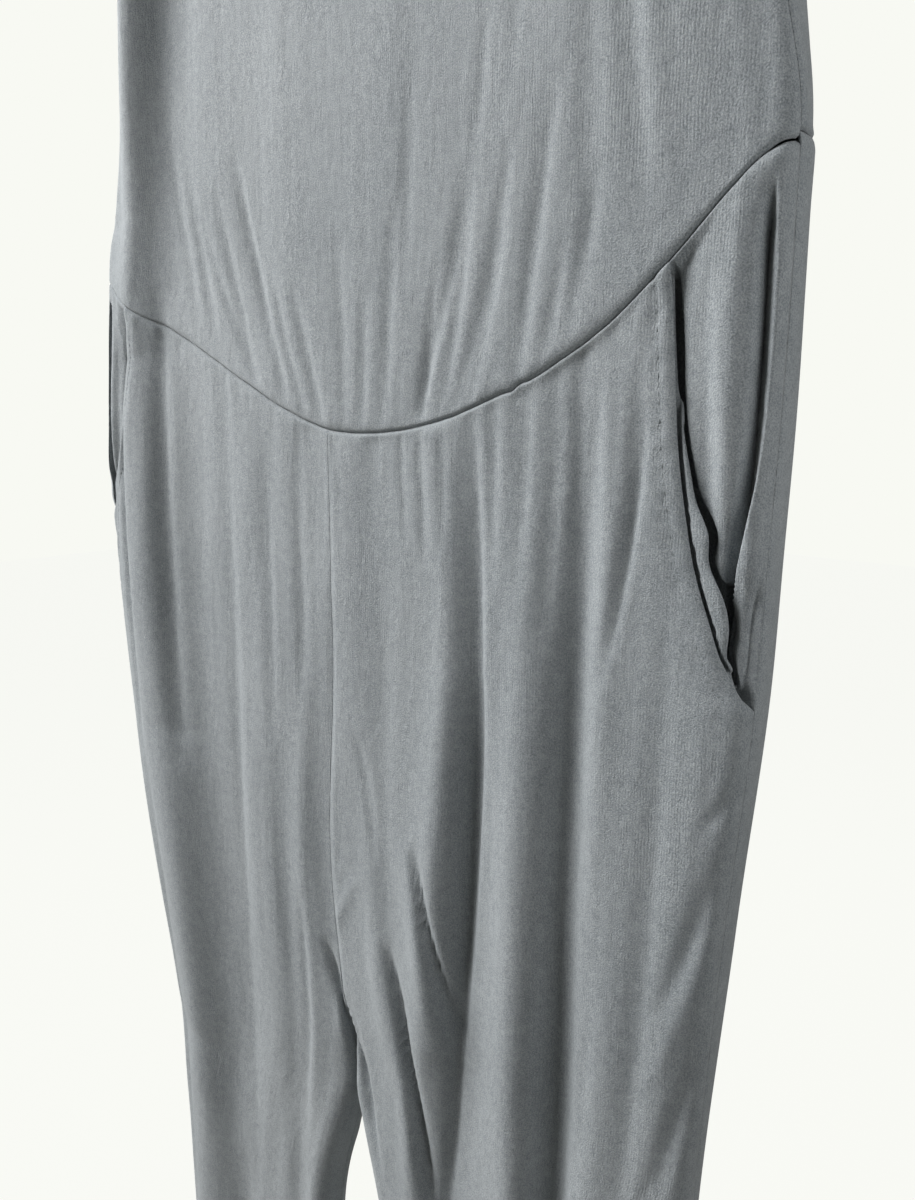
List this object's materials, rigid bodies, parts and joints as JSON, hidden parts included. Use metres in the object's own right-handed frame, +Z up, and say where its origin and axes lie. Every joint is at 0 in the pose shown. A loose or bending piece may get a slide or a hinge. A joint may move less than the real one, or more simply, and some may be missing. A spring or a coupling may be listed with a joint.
{
  "type": "over-bump maternity joggers",
  "caption": "Soft jersey joggers with a deep over-bump stretch band, a U-shaped waist seam, slanted hip pockets and ankle cuffs, hanging open and hollow.",
  "frame": {"origin": "middle of the top edge of the stretch band, where the garment is held up", "axes": "+X to the wearer's left, -Y to the wearer's front, +Z up"},
  "size_m": [0.3957, 0.0331, 1.16],
  "materials": {
    "jersey": "soft mid-grey viscose jersey, matte with a faint nap"
  },
  "bodies": {
    "root": {"band_front": "jersey", "band_back": "jersey", "leg_front_left": "jersey", "leg_front_right": "jersey", "leg_back_left": "jersey", "leg_back_right": "jersey", "hip_left": "jersey", "hip_right": "jersey", "pocket_facing_left": "jersey", "pocket_facing_right": "jersey", "cuff_left": "jersey", "cuff_right": "jersey"}
  },
  "joints": []
}
